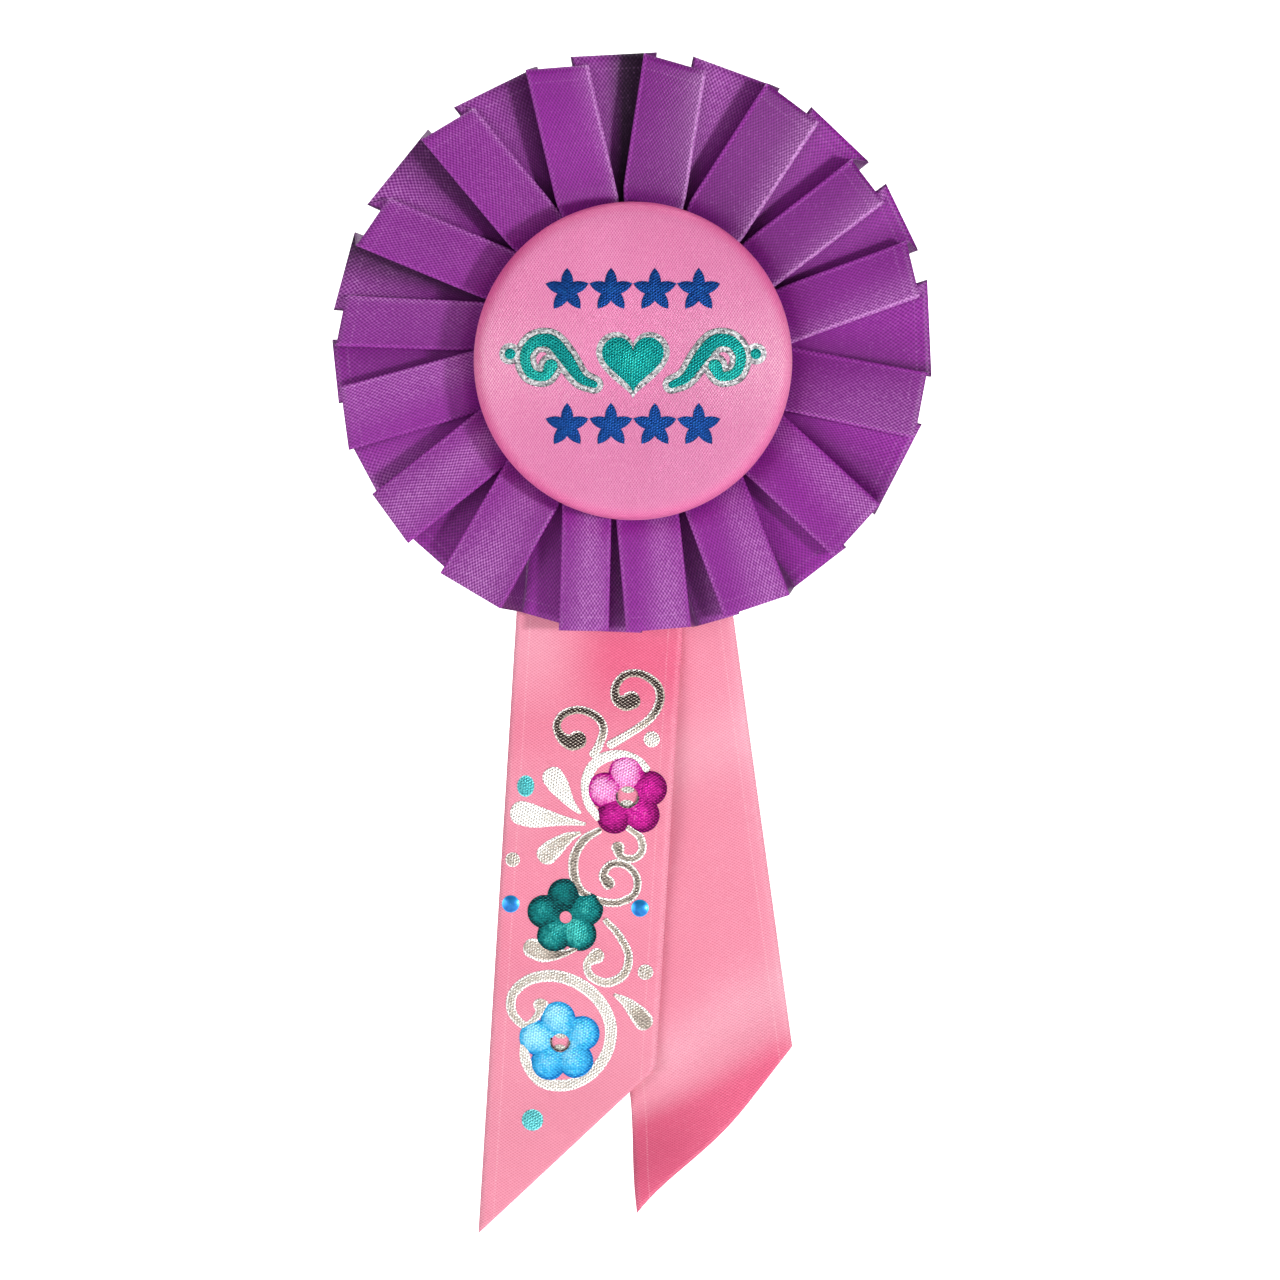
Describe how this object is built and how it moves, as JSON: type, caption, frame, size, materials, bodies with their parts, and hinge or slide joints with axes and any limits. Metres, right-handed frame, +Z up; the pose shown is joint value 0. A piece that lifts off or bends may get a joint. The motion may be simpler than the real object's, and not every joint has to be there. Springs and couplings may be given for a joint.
{
  "type": "award ribbon",
  "caption": "Rosette ribbon with a fan of box pleats round a fabric-covered button, two hanging tails with slanted ends, and a bar pin with a safety catch behind.",
  "frame": {"origin": "on the axis of the pin needle's round shank, at the middle of the bar's length, which is where a garment holds the ribbon", "axes": "+Z up as worn, the front of the rosette faces -Y, +X runs along the needle from its hinge to its point and is to the right seen from the front"},
  "size_m": [0.083, 0.0197, 0.1663],
  "materials": {
    "purple_satin": "satin ribbon with a fine weave",
    "pink_satin": "satin cloth with a fine twill",
    "tinplate": "plain drawn tinplate",
    "nickel": "nickel-plated steel, lightly polished",
    "card": "uncoated white card",
    "glue": "milky hot-melt glue",
    "foam": "white foam tape"
  },
  "bodies": {
    "rosette": {"button_fabric": "pink_satin", "button_shell": "tinplate", "button_back_plate": "tinplate", "hot_glue": "glue", "pleated_ribbon": "purple_satin", "pleat_card": "card", "front_tail_top": "pink_satin", "back_tail_top": "pink_satin", "backing_card": "card", "tail_staples": "nickel", "adhesive_pad": "foam", "pin_bar": "nickel", "hinge_rivet": "nickel", "catch_housing": "nickel"},
    "front_tail_body": {"front_tail": "pink_satin"},
    "back_tail_body": {"back_tail": "pink_satin"},
    "needle": {"pin_needle": "nickel"},
    "catch": {"catch_sleeve": "nickel"}
  },
  "joints": [
    {"name": "front_tail_lift", "type": "hinge", "parent": "rosette", "child": "front_tail_body", "pos_m": [0, -0.00575, -0.0514], "axis": [-1, 0, 0], "range_deg": [0, 80]},
    {"name": "back_tail_lift", "type": "hinge", "parent": "rosette", "child": "back_tail_body", "pos_m": [0, -0.005, -0.0325], "axis": [1, 0, 0], "range_deg": [0, 70]},
    {"name": "needle_swing", "type": "hinge", "parent": "rosette", "child": "needle", "pos_m": [-0.0134, 0, 0], "axis": [0, 0, 1], "range_deg": [0, 75]},
    {"name": "catch_turn", "type": "hinge", "parent": "rosette", "child": "catch", "pos_m": [0.0117, 0, 0], "axis": [1, 0, 0], "range_deg": [0, 90]}
  ]
}
